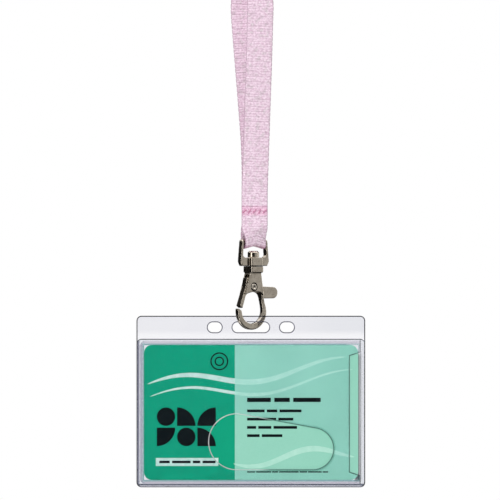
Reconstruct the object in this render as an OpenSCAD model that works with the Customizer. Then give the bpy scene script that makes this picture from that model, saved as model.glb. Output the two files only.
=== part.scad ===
// Clear badge holder with a card, hung from a ribbon lanyard by a swivelling trigger hook.
// Frame: +Z up, the front faces -Y, the origin is the top of the ribbon loop.

/* [Ribbon] */
// Width of the lanyard ribbon
ribbon_w = 10.4; // [8:0.2:12]
// Thickness of the ribbon
ribbon_t = 0.6; // [0.4:0.05:0.8]
// Height of the sewn overlap
seam_h = 4.4; // [3:0.2:7]
// Drop from the top of the seam to the ring's strap bar
loop_drop = 14.2; // [12:0.1:20]
// Room left between the strap bar and the ribbon under it
strap_gap = 0.3; // [0.2:0.05:0.6]
// How far the ribbon's edges droop below its middle under the bar
strap_droop = 1.2; // [0:0.1:1.6]

/* [Seam] */
// Number of stitches across the seam
stitch_n = 5; // [3:1:7]
// Distance from stitch to stitch
stitch_pitch = 2.2; // [1.6:0.1:2.2]
// Length of one stitch
stitch_len = 1.7; // [1:0.1:2.4]
// Thickness of the sewing thread
thread_d = 0.35; // [0.2:0.05:0.5]
// Slant of each stitch, in degrees
stitch_slant = 60; // [0:5:90]

/* [Swivel ring] */
// Width of the ring over its feet
ring_w = 14.3; // [13.6:0.1:18]
// Room between the ribbon's edge and each leg at the strap bar
ring_side_gap = 0.25; // [0.15:0.05:0.8]
// Thickness of a leg at the strap bar
leg_t = 0.95; // [0.7:0.05:1.2]
// Thickness of a leg at the foot
leg_foot_t = 1.25; // [0.9:0.05:1.6]
// Thickness of the ring from front to back
ring_depth = 2.2; // [1.8:0.1:2.4]
// Diameter of the strap bar
bar_d = 1.9; // [1.4:0.1:2.2]
// Drop from the strap bar to the underside of the ring's foot
ring_drop = 9.7; // [9:0.1:14]
// Height of the ring's foot
foot_h = 3.4; // [2.4:0.1:4]
// Width of the square boss round the swivel pin
boss_w = 5.8; // [4.8:0.1:6.4]
// Radius of the upright edges of the boss and the collar
edge_r = 0.6; // [0.3:0.1:1]

/* [Swivel pin] */
// Diameter of the pin's shank
pin_d = 2.4; // [1.6:0.1:2.8]
// Diameter of the pin's head
pin_head_d = 4.6; // [3.8:0.1:5.4]
// Height of the pin's head
pin_head_h = 2.6; // [1.4:0.1:3]
// Depth of the shank in the hook's collar
pin_grip = 3.1; // [2:0.1:3.3]
// Running clearance round the shank and at the swivel's faces
swivel_clear = 0.05; // [0.02:0.01:0.1]

/* [Hook] */
// Turn of the hook's plane away from the front, in degrees
hook_yaw = 38; // [20:1:60]
// Place of the swivel axis across the front
swivel_x = 1; // [-4:0.1:4]
// Height of the hook from the collar's top to the bend's underside
hook_h = 25.5; // [24:0.1:30]
// Outer radius of the hook's bend
bend_r = 7.2; // [6.8:0.1:8]
// Thickness of the bend at its sides
wire_t = 1.9; // [1.6:0.1:2.2]
// Thickness of the bend at its bottom
seat_t = 2.5; // [2.2:0.1:2.8]
// Thickness of the hook's spine and bend from front to back
wire_depth = 2.2; // [1.8:0.1:2.6]
// Shift of the bend's middle from the swivel axis, towards the gate
bend_shift = 1.2; // [0.6:0.1:1.6]
// Height of the hook's nose above the middle of the bend
nose_h = 1.65; // [1.2:0.05:2.2]
// Fall of the nose's slanted end and the gate's tip, towards the inside
nose_slant = 0.97; // [0.4:0.01:1]
// Width of the square collar
collar_w = 6; // [5.4:0.1:7]
// Height of the collar
collar_h = 2.6; // [2.2:0.1:3.2]
// Thickness of the hook's body from front to back
body_depth = 4; // [3.8:0.1:5]
// Thickness of each cheek of the body
cheek_t = 0.55; // [0.4:0.05:0.8]

/* [Gate] */
// Side clearance of the gate lever between the cheeks
gate_side_clear = 0.1; // [0.05:0.05:0.2]
// Distance from the swivel axis to the gate's pivot, towards the gate
pivot_in = 1.1; // [0.8:0.1:1.6]
// Radius of the lever's hub
hub_r = 1.9; // [1.7:0.05:2]
// Reach of the gate's tip from its pivot, sideways
gate_reach = 6.6; // [6.2:0.1:7]
// Thickness of the gate arm
gate_t = 1.3; // [1:0.05:1.6]
// Gap between the gate's tip and the end of the hook
gate_gap = 0.85; // [0.4:0.05:1.2]
// Reach of the thumb tab from the pivot
tab_reach = 13.2; // [10:0.1:15]
// Height of the thumb tab
tab_h = 5.1; // [4.4:0.1:6]
// Thickness of the thumb tab
tab_t = 0.9; // [0.6:0.05:1.2]
// Diameter of the rivet's shank
rivet_d = 1.6; // [1.2:0.1:1.8]
// Diameter of the rivet's heads
rivet_head_d = 2.7; // [2.4:0.1:3]
// Outside diameter of the spring's coil
spring_d = 2.9; // [2.5:0.1:3]
// Thickness of the spring wire
spring_wire_d = 0.4; // [0.3:0.05:0.45]
// Number of turns in the spring's coil
spring_turns = 3; // [2:1:3]

/* [Holder] */
// Height of the header above the pocket
header_h = 9.2; // [8.6:0.1:16]
// Radius of the holder's corners
corner_r = 2; // [1:0.1:4]
// Thickness of the back sheet
back_t = 0.5; // [0.3:0.05:0.6]
// Thickness of the front film
film_t = 0.3; // [0.2:0.05:0.5]
// Width of the welded edge at the sides and the bottom
weld_w = 1.2; // [0.8:0.1:2]
// Width of the welded edge along the top
weld_top_w = 0.7; // [0.5:0.1:1.5]
// Width of the open rim beside the card slit
rim_w = 1.95; // [1.4:0.05:2.4]
// Run of the film's slope from the weld up to the window
slope_run = 1.6; // [1:0.1:1.7]
// Room between the film's slopes and the card's bottom
card_rest = 0.2; // [0.1:0.05:0.3]
// Room between the film's slope and the card's top
card_top_play = 0.12; // [0.1:0.01:3]
// Room between the film's slope and the card's closed side
card_side_play = 0.25; // [0.1:0.05:2]
// Distance from the card's edge to the low rim at the open side
mouth_gap = 0.9; // [0.2:0.1:3]

/* [Header holes] */
// Length of the middle slot
slot_w = 14.7; // [13:0.1:20]
// Height of the slot and of the chain holes
slot_h = 4; // [3.8:0.1:5]
// Height of the strip above the slot
slot_strip = 2.6; // [2:0.1:3]
// Length of a chain hole
chain_w = 5.6; // [5:0.1:7]
// Distance between the chain holes
chain_pitch = 28.9; // [26:0.1:40]
// Room between the strip and the hook's bend
seat_clear = 0.15; // [0.1:0.05:0.4]

/* [Window] */
// Radius of the thumb opening's large end
thumb_r = 11; // [8:0.5:14]
// Radius of the thumb opening's small end
thumb_end_r = 8.2; // [6:0.2:10]
// Distance between the two ends' centres, across the holder
thumb_span = 30.4; // [24:0.2:34]
// Place of the large end's centre, left of the middle
thumb_left = 5.7; // [0:0.1:12]
// Height of the thumb opening's bottom above the holder's bottom
thumb_rise = 7.3; // [5:0.1:12]
// Width of the card slit
slit_w = 4.3; // [3:0.1:6]
// Distance from the pocket's top to the slit's inner corner
slit_top = 6.8; // [5:0.1:12]
// Distance from the pocket's bottom to the slit's inner corner
slit_bottom = 6.3; // [5:0.1:12]
// Rise of the slit's slanted ends
slit_slant = 1.4; // [0:0.1:3]

/* [Card] */
// Width of the card
card_w = 85.6; // [85:0.1:86.2]
// Height of the card
card_h = 53.98; // [53.5:0.01:54.1]
// Thickness of the card
card_t = 0.76; // [0.5:0.01:0.9]
// Radius of the card's corners
card_r = 3.18; // [2:0.02:4]
// Thickness of the printed layer on the front and the film on the back
overlay_t = 0.08; // [0.04:0.01:0.12]
// Play between the card and the sheets in front of and behind it
card_play = 0.06; // [0.04:0.01:0.15]
// Width of the darker printed field
field_w = 36.3; // [20:0.1:60]

/* [Hidden] */
$fn = 48;

// Route of the ribbon's middle, from the seam up the front strand, over and down the rear one
neck_route = [
    [1.5, -0.35, -91.4], [1.5, -0.5, -86], [1.8, -1.6, -77], [2.2, -3.2, -65],
    [2.7, -5.2, -50], [3.2, -7.2, -35], [3.6, -9.2, -20], [3.8, -10.2, -12],
    [3.4, -9.6, -7], [2.6, -7.6, -3.2], [1.5, -4, -0.9], [0.4, 0, -0.3],
    [-0.7, 4, -0.9], [-1.8, 7.6, -3.2], [-2.6, 9.6, -7], [-2.9, 10.2, -12],
    [-2.4, 9.2, -20], [-1.2, 7.2, -35], [0, 5.2, -50], [1.1, 3.2, -65],
    [1.5, 1.8, -77], [1.5, 1.05, -86], [1.5, 1, -91.4], [1.5, 1, -95.8]];
seam_x = neck_route[0][0];
seam_top_z = neck_route[0][2];
seam_low_z = seam_top_z - seam_h;
bar_z = seam_top_z - loop_drop;

// Small distances shared by all pieces
overrun = 1;
facet_lap = 0.02;
layer_gap = 0.05;

// The fold's wall runs on a path through these half widths
fold_side_r = bar_d / 2 + strap_gap + ribbon_t / 2;
seam_side_r = (ribbon_t + layer_gap) / 2;
fold_steps = 7;
bend_steps = 8;
across_steps = 6;
twist_start_share = 0.26;
twist_end_share = 0.76;

// Places of the swivel and the hook below the strap bar
swivel_z = bar_z - ring_drop;
leg_in_top = ribbon_w / 2 + ring_side_gap;
leg_in_foot = ring_w / 2 - leg_foot_t;
bore_d = pin_d + 2 * swivel_clear;
seat_drop = hook_h - seat_t;
bend_in_r = bend_r - wire_t;
bend_z = bend_r - hook_h;
bend_in_z = bend_in_r - seat_drop;
channel_w = body_depth - 2 * cheek_t;
channel_top = -pin_grip - cheek_t;
gate_depth = channel_w - 2 * gate_side_clear;
pivot_u = -pivot_in;
pivot_drop_share = 0.3275;
pivot_z = -pivot_drop_share * hook_h;
nose_z = bend_z + nose_h;
gate_drop = pivot_z - nose_z - gate_gap;
lever_bore_d = rivet_d + 2 * swivel_clear;
dimple_share = 0.8;
rivet_recess_d = rivet_head_d + rivet_d / 3;
rivet_recess_h = cheek_t / 2;
spring_w = spring_turns * spring_wire_d;
groove_w = spring_w + 2 * swivel_clear;
groove_r = spring_d / 2 + 2 * swivel_clear;
spring_turn_r = (spring_d - spring_wire_d) / 2;
spring_leg_share = 0.85;
spring_leg_d = spring_leg_share * spring_wire_d;

// Outlines of the hook: shares of the bend's radius across and of the hook's height down
body_shares = [[0.36, -0.13], [0.47, -0.286], [0.55, -0.41], [0.50, -0.437], [0.42, -0.443],
    [0.30, -0.418], [0.03, -0.408], [-0.28, -0.413], [-0.51, -0.428], [-0.64, -0.442],
    [-0.80, -0.447], [-0.62, -0.285], [-0.41, -0.11]];
body_top_shares = [-0.39, 0.355];
spine_out_shares = [[0.2, -0.24], [0.45, -0.26], [0.55, -0.41], [0.60, -0.49], [0.665, -0.545],
    [0.74, -0.60], [0.80, -0.655]];
spine_in_shares = [[0.53, -0.623], [0.484, -0.545], [0.475, -0.494], [0.42, -0.443],
    [0.30, -0.418], [0.2, -0.40]];
channel_right_share = 0.19;
tab_slot_top_share = 0.205;
tab_slot_low_share = 0.418;
taper_top_share = 0.4;
taper_low_share = 0.57;

// Outline of the gate lever from its pivot: shares of the tip's reach and of its drop
lever_out_shares = [[-0.29, 0.50], [-0.47, 0.50], [-0.59, -0.03], [-0.705, -0.30], [-1, -1]];
lever_tip_share = 0.81;
lever_in_shares = [[-0.57, -0.48], [-0.39, -0.27], [0, -0.255], [0.30, -0.17], [0.34, 0.06],
    [0, 0.06], [-0.2, 0.16]];
lever_out = share_points(lever_out_shares, gate_reach, gate_drop);
lever_in = share_points(lever_in_shares, gate_reach, gate_drop);
tab_top = lever_in[4][1];
tab_end_share = 0.45;

// Size of the holder round the card
holder_w = weld_w + slope_run + card_side_play + card_w + mouth_gap + rim_w;
pocket_h = weld_w + slope_run + card_rest + card_h + card_top_play + slope_run + weld_top_w;

// Place of the holder, hung with its strip on the bend
bend_u = -bend_shift;
sheet_y = bend_u * sin(hook_yaw);
seat_u = (back_t / 2 + wire_depth / 2 * cos(hook_yaw)) / sin(hook_yaw);
seat_rise = bend_in_r - sqrt(bend_in_r * bend_in_r - seat_u * seat_u);
slot_top_z = swivel_z - seat_drop + seat_rise + seat_clear;
holder_top_z = slot_top_z + slot_strip;
pocket_top_z = holder_top_z - header_h;
holder_low_z = pocket_top_z - pocket_h;
slot_z = slot_top_z - slot_h / 2;

// Levels from the back sheet's front face forward
back_y = sheet_y - back_t / 2;
weld_y = back_y - film_t;
card_back_y = weld_y - card_play;
card_front_y = card_back_y - card_t;
film_back_y = card_front_y - card_play;
film_front_y = film_back_y - film_t;
film_lift = weld_y - film_front_y;

// Edges of the raised part of the film and of the card
raise_left_x = -holder_w / 2 + weld_w;
raise_right_x = holder_w / 2 - rim_w;
raise_low_z = holder_low_z + weld_w;
raise_top_z = pocket_top_z - weld_top_w;
slit_left_x = raise_right_x - slit_w;
card_low_z = raise_low_z + slope_run + card_rest;
card_left_x = raise_left_x + slope_run + card_side_play;
thumb_z = holder_low_z + thumb_rise;

function along(list, i) = list[min(max(i, 0), len(list) - 1)];
function unit(v) = v / norm(v);
function ease(t) = (1 - cos(180 * min(max(t, 0), 1))) / 2;
function share_points(shares, w, h) = [for (p = shares) [p[0] * w, p[1] * h]];
function arc_points(c, r, from, to, n) =
    [for (i = [0 : n]) let (a = from + (to - from) * i / n) c + r * [cos(a), sin(a)]];

// Skin of a strip: every station is a closed loop of the same number of points
function skin_faces(stations, n) = [for (j = [0 : stations - 2], k = [0 : n - 1])
    let (a = j * n + k, b = j * n + (k + 1) % n) each [[a, b, b + n], [a, b + n, a + n]]];
// Caps of a loop whose first half faces its second half, as on a folded strip
function cap_faces(first, n, turned) = [for (k = [0 : n / 2 - 2])
    let (a = first + k, b = a + 1, c = first + n - 2 - k, d = c + 1)
    each (turned ? [[a, c, b], [a, d, c]] : [[a, b, c], [a, c, d]])];

// Flat ribbon swept along the route, its width kept level
function route_dir(i) = i == 0 || i == len(neck_route) - 1 ? [0, 0, i == 0 ? 1 : -1]
    : unit(along(neck_route, i + 1) - along(neck_route, i - 1));
function route_side(i) = let (d = route_dir(i)) unit([1, 0, 0] - d[0] * d);
function route_ring(i) = let (p = neck_route[i], s = route_side(i), n = cross(route_dir(i), s))
    [for (c = [[-1, -1], [0, -1], [1, -1], [1, 1], [0, 1], [-1, 1]])
        p + s * c[0] * ribbon_w / 2 + n * c[1] * ribbon_t / 2];

module neck_ribbon() {
    rings = [for (i = [0 : len(neck_route) - 1]) route_ring(i)];
    n = len(rings[0]);
    last = (len(rings) - 1) * n;
    color("pink") polyhedron(
        points = [for (r = rings) each r],
        faces = concat(skin_faces(len(rings), n), cap_faces(0, n, true), cap_faces(last, n, false)),
        convexity = 6);
}

// Path of the folded end in the plane across the strap bar: [depth, height]
function fold_wall(t) = [seam_side_r + (fold_side_r - seam_side_r) * ease(t),
    seam_low_z + (bar_z - seam_low_z) * t];
fold_front = concat([[-seam_side_r, seam_top_z]],
    [for (i = [0 : fold_steps - 1]) let (p = fold_wall(i / fold_steps)) [-p[0], p[1]]]);
fold_under = arc_points([0, bar_z], fold_side_r, 180, 360, bend_steps);
fold_back = [for (i = [len(fold_front) - 1 : -1 : 0]) [-fold_front[i][0], fold_front[i][1]]];
fold_path = concat(fold_front, fold_under, fold_back);
function fold_normal(i) =
    let (d = unit(along(fold_path, i + 1) - along(fold_path, i - 1))) [d[1], -d[0]];
function fold_edge(side) = [for (i = [0 : len(fold_path) - 1])
    let (end = i == 0 || i == len(fold_path) - 1, n = end ? [sign(fold_path[i][0]), 0] : fold_normal(i))
    fold_path[i] - n * side * ribbon_t / 2];
fold_outer = fold_edge(-1);
fold_inner = fold_edge(1);
fold_loop = concat(fold_outer, [for (i = [len(fold_inner) - 1 : -1 : 0]) fold_inner[i]]);
function below_seam(z) = let (part = (seam_low_z - z) / (seam_low_z - bar_z))
    ease((part - twist_start_share) / (twist_end_share - twist_start_share));
function fold_point(share, p) =
    let (w = share * ribbon_w / 2, k = below_seam(p[1]), a = hook_yaw * k,
        x = seam_x + (swivel_x - seam_x) * k)
    [x + w * cos(a) - p[0] * sin(a), w * sin(a) + p[0] * cos(a), p[1] - strap_droop * k * share * share];

module ribbon_end_loop() {
    n = len(fold_loop);
    stations = across_steps + 1;
    color("lightpink") polyhedron(
        points = [for (j = [0 : across_steps], p = fold_loop) fold_point(2 * j / across_steps - 1, p)],
        faces = concat(skin_faces(stations, n), cap_faces(0, n, true),
            cap_faces(across_steps * n, n, false)),
        convexity = 6);
}

module stitch() {
    front_y = -layer_gap / 2 - ribbon_t;
    back_y = neck_route[len(neck_route) - 1][1] + ribbon_t / 2;
    rotate([0, stitch_slant, 0]) difference() {
        translate([-stitch_len / 2, front_y - thread_d, -thread_d / 2])
            cube([stitch_len, back_y - front_y + 2 * thread_d, thread_d]);
        translate([thread_d - stitch_len / 2, front_y, -thread_d])
            cube([stitch_len - 2 * thread_d, back_y - front_y, 2 * thread_d]);
    }
}

module seam_stitching() {
    color("palevioletred") for (i = [0 : stitch_n - 1])
        translate([seam_x + (i - (stitch_n - 1) / 2) * stitch_pitch, 0, seam_top_z - seam_h / 2])
            stitch();
}

// Frame of the ring and the hook: x in the hook's plane, y through it, z from the swivel's face
module at_swivel() {
    translate([swivel_x, 0, swivel_z]) rotate([0, 0, hook_yaw]) children();
}

// Plate of an outline in the hook's plane
module plate(depth) {
    rotate([90, 0, 0]) linear_extrude(depth, center = true) children();
}

// Square block with rounded upright edges
module rounded_block(w, h) {
    linear_extrude(h) round_rect(-w / 2, -w / 2, w / 2, w / 2, edge_r);
}

module ring_leg() {
    foot_out = ring_w / 2;
    shoulder_z = ring_drop + (bar_d + ring_depth) / 4 - leg_t;
    plate(2 * ring_depth) polygon(concat(
        arc_points([leg_in_top, shoulder_z], leg_t, 90, 0, bend_steps),
        [[foot_out, foot_h / 2], [foot_out - foot_h / 4, 0], [0, 0], [0, foot_h],
        [leg_in_foot - foot_h / 4, foot_h], [leg_in_foot, foot_h + foot_h / 4]]));
}

module swivel_ring() {
    color("silver") at_swivel() difference() {
        union() {
            intersection() {
                union() {
                    ring_leg();
                    mirror([1, 0, 0]) ring_leg();
                }
                // The legs' tops are round from front to back, like the bar
                rotate([90, 0, 90]) linear_extrude(ring_w, center = true) {
                    translate([0, ring_drop]) circle(d = ring_depth);
                    translate([-ring_depth / 2, 0]) square([ring_depth, ring_drop]);
                }
            }
            translate([-leg_in_top - leg_t / 4, 0, ring_drop]) rotate([0, 90, 0])
                cylinder(h = 2 * leg_in_top + leg_t / 2, d = bar_d);
            rounded_block(boss_w, foot_h);
        }
        translate([0, 0, -overrun]) cylinder(h = foot_h + 2 * overrun, d = bore_d);
    }
}

module swivel_pin() {
    head_z = foot_h + swivel_clear;
    cap_h = pin_head_h / 4;
    color("gray") at_swivel() {
        translate([0, 0, head_z]) cylinder(h = pin_head_h - cap_h, d = pin_head_d);
        translate([0, 0, head_z + pin_head_h - cap_h])
            cylinder(h = cap_h, d1 = pin_head_d, d2 = pin_head_d - 2 * cap_h);
        translate([0, 0, -swivel_clear - pin_grip])
            cylinder(h = head_z + swivel_clear + pin_grip, d = pin_d);
    }
}

// Half rounds of the bend, outer or inner, from the spine round to the gate side
function bend_arc(z, r, from, to) = arc_points([bend_u, z], r, from, to, 4 * bend_steps);

module spine_outline() {
    polygon(concat(
        share_points(spine_out_shares, bend_r, hook_h),
        bend_arc(bend_z, bend_r, 0, -180),
        [[bend_u - bend_r, nose_z], [bend_u - bend_in_r, nose_z - nose_slant]],
        bend_arc(bend_in_z, bend_in_r, -180, 0),
        share_points(spine_in_shares, bend_r, hook_h)));
}

// Side view of the spine: as deep as the body above, as deep as the wire below
module spine_profile() {
    top = -taper_top_share * hook_h;
    low = -taper_low_share * hook_h;
    rotate([90, 0, 90]) linear_extrude(4 * bend_r, center = true) polygon([
        [-body_depth / 2, 0], [-body_depth / 2, top], [-wire_depth / 2, low],
        [-wire_depth / 2, -2 * hook_h], [wire_depth / 2, -2 * hook_h],
        [wire_depth / 2, low], [body_depth / 2, top], [body_depth / 2, 0]]);
}

module at_pivot() {
    translate([pivot_u, 0, pivot_z]) rotate([90, 0, 0]) children();
}

module hook_body() {
    slot_top = -tab_slot_top_share * hook_h;
    slot_low = -tab_slot_low_share * hook_h;
    slot_t = tab_t + 2 * gate_side_clear;
    channel_right = channel_right_share * bend_r;
    channel_low = nose_z + gate_gap / 2;
    color("silver") at_swivel() translate([0, 0, -swivel_clear]) difference() {
        union() {
            translate([0, 0, -collar_h]) rounded_block(collar_w, collar_h);
            plate(body_depth) polygon(concat(
                [for (x = body_top_shares) [x * bend_r, -collar_h / 2]],
                share_points(body_shares, bend_r, hook_h)));
            intersection() {
                plate(2 * body_depth) spine_outline();
                spine_profile();
            }
        }
        translate([0, 0, -pin_grip]) cylinder(h = pin_grip + overrun, d = pin_d);
        // Channel between the cheeks, open to the gate side and below
        translate([channel_right - 2 * bend_r, -channel_w / 2, channel_low])
            cube([2 * bend_r, channel_w, channel_top - channel_low]);
        // Slot for the thumb tab through the spine
        translate([channel_right - overrun, -slot_t / 2, slot_low])
            cube([bend_r, slot_t, slot_top - slot_low]);
        at_pivot() cylinder(h = 2 * body_depth, d = rivet_d, center = true);
        for (side = [-1, 1]) at_pivot() translate([0, 0, side * body_depth / 2])
            cylinder(h = 2 * rivet_recess_h, d = rivet_recess_d, center = true);
    }
}

// Tab's outline; where it leaves the spine it keeps clear of the spine's outer edge
module thumb_tab_outline() {
    end_r = tab_end_share * tab_h;
    low = tab_top - tab_h;
    end_x = tab_reach - end_r;
    root = [for (k = [2 : 4]) let (p = spine_out_shares[k])
        [p[0] * bend_r - pivot_u + 2 * gate_side_clear, p[1] * hook_h - pivot_z]];
    polygon([[0, tab_top], [end_x, low + 2 * end_r], [end_x, low], [root[2][0], low],
        root[1], root[0], [0, -hub_r]]);
    translate([end_x, low + end_r]) circle(r = end_r);
}

module gate_lever() {
    color("darkgray") at_swivel() translate([0, 0, -swivel_clear]) at_pivot() difference() {
        union() {
            cylinder(h = gate_depth, r = hub_r, center = true);
            linear_extrude(gate_depth, center = true) polygon(concat(lever_out,
                [[-lever_tip_share * gate_reach, -gate_drop - nose_slant]], lever_in));
            linear_extrude(tab_t, center = true) thumb_tab_outline();
        }
        cylinder(h = 2 * gate_depth, d = lever_bore_d, center = true);
        // Room for the spring's coil, open above for its free leg
        cylinder(h = groove_w, r = groove_r, center = true);
        translate([-groove_r, 0, -groove_w / 2]) cube([2 * groove_r, 2 * hub_r, groove_w]);
        spring_leg(2 * swivel_clear);
    }
}

// Leg of the spring that lies in the middle of the gate arm
module spring_leg(extra) {
    aim = (lever_out[3] + lever_in[0]) / 2;
    rotate([0, 0, atan2(aim[1], aim[0])]) translate([spring_turn_r / 2, 0, 0]) rotate([0, 90, 0])
        cylinder(h = 2 * hub_r - spring_turn_r / 2 + extra, d = spring_leg_d + 2 * extra);
}

module gate_spring() {
    leg_h = channel_top - pivot_z;
    color("dimgray") at_swivel() translate([0, 0, -swivel_clear]) at_pivot() difference() {
        union() {
            cylinder(h = spring_w, d = spring_d, center = true);
            translate([spring_turn_r, 0, spring_w / 2 - spring_wire_d / 2]) rotate([-90, 0, 0])
                cylinder(h = leg_h, d = spring_leg_d);
            spring_leg(0);
        }
        cylinder(h = 2 * spring_w, d = spring_d - 2 * spring_wire_d, center = true);
    }
}

module gate_rivet() {
    color("gray") at_swivel() translate([0, 0, -swivel_clear]) at_pivot() difference() {
        union() {
            cylinder(h = body_depth, d = rivet_d, center = true);
            for (side = [-1, 1]) translate([0, 0, side * (body_depth - rivet_recess_h) / 2])
                cylinder(h = rivet_recess_h, d = rivet_head_d, center = true);
        }
        // Dimple that spread the heads
        for (side = [-1, 1]) translate([0, 0, side * body_depth / 2])
            cylinder(h = rivet_recess_h, d = dimple_share * rivet_d, center = true);
    }
}

// Upright sheet of a given thickness whose back lies at a given depth
module sheet(y, t) {
    translate([0, y, 0]) rotate([90, 0, 0]) linear_extrude(t) children();
}

module round_rect(x0, z0, x1, z1, r) {
    translate([x0 + r, z0]) square([x1 - x0 - 2 * r, z1 - z0]);
    translate([x0, z0 + r]) square([x1 - x0, z1 - z0 - 2 * r]);
    for (x = [x0 + r, x1 - r], z = [z0 + r, z1 - r]) translate([x, z]) circle(r = r);
}

module obround(w, h) {
    square([w - h, h], center = true);
    for (side = [-1, 1]) translate([side * (w - h) / 2, 0]) circle(d = h);
}

module back_sheet() {
    color("lavender") sheet(sheet_y + back_t / 2, back_t) difference() {
        round_rect(-holder_w / 2, holder_low_z, holder_w / 2, holder_top_z, corner_r);
        translate([0, slot_z]) obround(slot_w, slot_h);
        for (side = [-1, 1]) translate([side * chain_pitch / 2, slot_z]) obround(chain_w, slot_h);
    }
}

// Large and small round end, joined by the two straight lines that touch both
module thumb_outline() {
    span = [thumb_span, thumb_end_r - thumb_r];
    lead = atan2(span[1], span[0]);
    spread = acos((thumb_r - thumb_end_r) / norm(span));
    ends = [[[0, thumb_r], thumb_r], [[thumb_span, thumb_end_r], thumb_end_r]];
    translate([-thumb_left, thumb_z]) {
        for (e = ends) translate(e[0]) circle(r = e[1]);
        polygon([for (k = [[0, 1], [1, 1], [1, -1], [0, -1]])
            let (e = ends[k[0]], a = lead + k[1] * spread) e[0] + e[1] * [cos(a), sin(a)]]);
    }
}

module slit_outline() {
    low = holder_low_z + slit_bottom;
    top = pocket_top_z - slit_top;
    polygon([[slit_left_x, low], [raise_right_x + overrun, low - slit_slant],
        [raise_right_x + overrun, top + slit_slant], [slit_left_x, top]]);
}

// Block under the film's slopes, open past the right side, with its foot moved back by a distance
module raise_block(back) {
    far_x = raise_right_x + slope_run + 2 * overrun;
    hull() {
        sheet(back_y + back, film_t)
            round_rect(raise_left_x, raise_low_z, far_x, raise_top_z, weld_w);
        sheet(film_back_y + back, film_t) round_rect(raise_left_x + slope_run, raise_low_z + slope_run,
            far_x, raise_top_z - slope_run, weld_w / 2);
    }
}

module front_sheet() {
    color("aliceblue") {
        sheet(back_y, film_t) difference() {
            round_rect(-holder_w / 2, holder_low_z, holder_w / 2, pocket_top_z, corner_r);
            intersection() {
                round_rect(raise_left_x + facet_lap, raise_low_z + facet_lap,
                    raise_right_x + slope_run, raise_top_z - facet_lap, weld_w);
                translate([raise_left_x, raise_low_z])
                    square([raise_right_x - raise_left_x, pocket_h]);
            }
        }
        difference() {
            raise_block(0);
            raise_block(film_t);
            translate([raise_right_x, film_front_y - overrun, holder_low_z])
                cube([slope_run + 4 * overrun, film_lift + film_t + 2 * overrun, pocket_h]);
            sheet(film_back_y + overrun, film_t + 2 * overrun) thumb_outline();
            sheet(film_back_y + overrun, film_t + 2 * overrun) slit_outline();
        }
    }
}

module card_outline() {
    round_rect(card_left_x, card_low_z, card_left_x + card_w, card_low_z + card_h, card_r);
}

// Part of the printed layer between two edges across the card
module print_field(x0, x1) {
    sheet(card_front_y + overlay_t, overlay_t) intersection() {
        card_outline();
        translate([x0, card_low_z]) square([x1 - x0, card_h]);
    }
}

module card_core() {
    color("white") sheet(card_back_y - overlay_t, card_t - 2 * overlay_t) card_outline();
}

module card_green_field() {
    color("seagreen") print_field(card_left_x, card_left_x + field_w);
}

module card_mint_field() {
    color("aquamarine") print_field(card_left_x + field_w, card_left_x + card_w);
}

module card_back_film() {
    color("whitesmoke") sheet(card_back_y, overlay_t) card_outline();
}

neck_ribbon();
ribbon_end_loop();
seam_stitching();
swivel_ring();
swivel_pin();
hook_body();
gate_lever();
gate_rivet();
gate_spring();
back_sheet();
front_sheet();
card_core();
card_green_field();
card_mint_field();
card_back_film();
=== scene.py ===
"""Looks of a clear badge holder with a card, hung from a pink ribbon lanyard by a trigger hook."""
import math

import bpy
from mathutils import Matrix, Vector


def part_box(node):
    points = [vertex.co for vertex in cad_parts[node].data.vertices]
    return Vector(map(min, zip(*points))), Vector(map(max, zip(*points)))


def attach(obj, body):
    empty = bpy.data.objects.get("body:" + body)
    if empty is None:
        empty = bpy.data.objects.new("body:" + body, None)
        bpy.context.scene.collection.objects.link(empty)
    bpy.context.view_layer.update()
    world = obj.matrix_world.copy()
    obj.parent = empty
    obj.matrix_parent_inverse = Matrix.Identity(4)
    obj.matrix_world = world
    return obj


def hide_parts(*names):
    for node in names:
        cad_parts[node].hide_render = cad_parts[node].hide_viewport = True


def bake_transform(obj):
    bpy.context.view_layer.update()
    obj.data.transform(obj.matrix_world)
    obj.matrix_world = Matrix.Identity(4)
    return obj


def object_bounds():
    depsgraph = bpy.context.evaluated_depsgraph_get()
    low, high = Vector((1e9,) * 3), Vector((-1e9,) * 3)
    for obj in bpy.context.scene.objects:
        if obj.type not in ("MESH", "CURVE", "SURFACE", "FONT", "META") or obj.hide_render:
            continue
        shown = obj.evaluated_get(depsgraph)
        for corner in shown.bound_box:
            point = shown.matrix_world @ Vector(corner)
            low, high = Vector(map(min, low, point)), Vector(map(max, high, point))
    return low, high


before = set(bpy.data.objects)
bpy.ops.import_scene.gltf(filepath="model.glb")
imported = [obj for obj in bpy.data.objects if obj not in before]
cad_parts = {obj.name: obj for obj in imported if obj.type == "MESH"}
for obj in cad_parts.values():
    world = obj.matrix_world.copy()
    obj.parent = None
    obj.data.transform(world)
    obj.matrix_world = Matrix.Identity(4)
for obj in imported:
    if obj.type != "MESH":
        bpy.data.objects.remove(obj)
cad_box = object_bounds()

# The view: a long lens looks straight at the holder's front. The picture is 500 pixels wide, and
# one pixel covers 0.4004 mm of the holder.
MM = 0.001
picture_px = 500
pixel = 0.4004 * MM
view_middle = Vector((-0.34, 0, -108.9)) * MM
view_distance = 1.2
bpy.ops.object.camera_add(location=view_middle - Vector((0, view_distance, 0)),
                          rotation=(math.pi / 2, 0, 0))
camera = bpy.context.object
camera.data.lens = camera.data.sensor_width * view_distance / (picture_px * pixel)
bpy.context.scene.camera = camera
bpy.context.scene.view_settings.view_transform = "Standard"

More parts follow.
